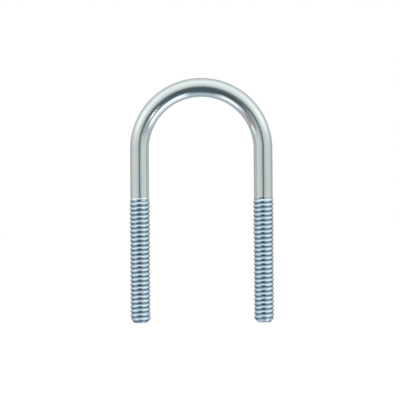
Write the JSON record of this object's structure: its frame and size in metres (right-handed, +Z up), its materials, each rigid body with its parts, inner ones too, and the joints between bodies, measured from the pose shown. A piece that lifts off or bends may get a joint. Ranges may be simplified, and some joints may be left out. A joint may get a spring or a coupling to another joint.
{
  "type": "u-bolt",
  "caption": "Round zinc-plated steel rod bent to a half circle, with straight threaded legs, for fastening a pipe, rope or shackle to a plate or deck.",
  "frame": {"origin": "midway between the two leg ends, on the plane of their flat faces", "axes": "+Z up along the legs towards the bow, X across from leg to leg, Y along the axis of a pipe held in the bow"},
  "size_m": [0.0416, 0.0062, 0.07],
  "materials": {
    "zinc_plated_steel": "bright zinc plated, blue-white, smooth drawn rod with fine lengthwise lines"
  },
  "bodies": {
    "root": {"u_bolt": "zinc_plated_steel"}
  },
  "joints": []
}
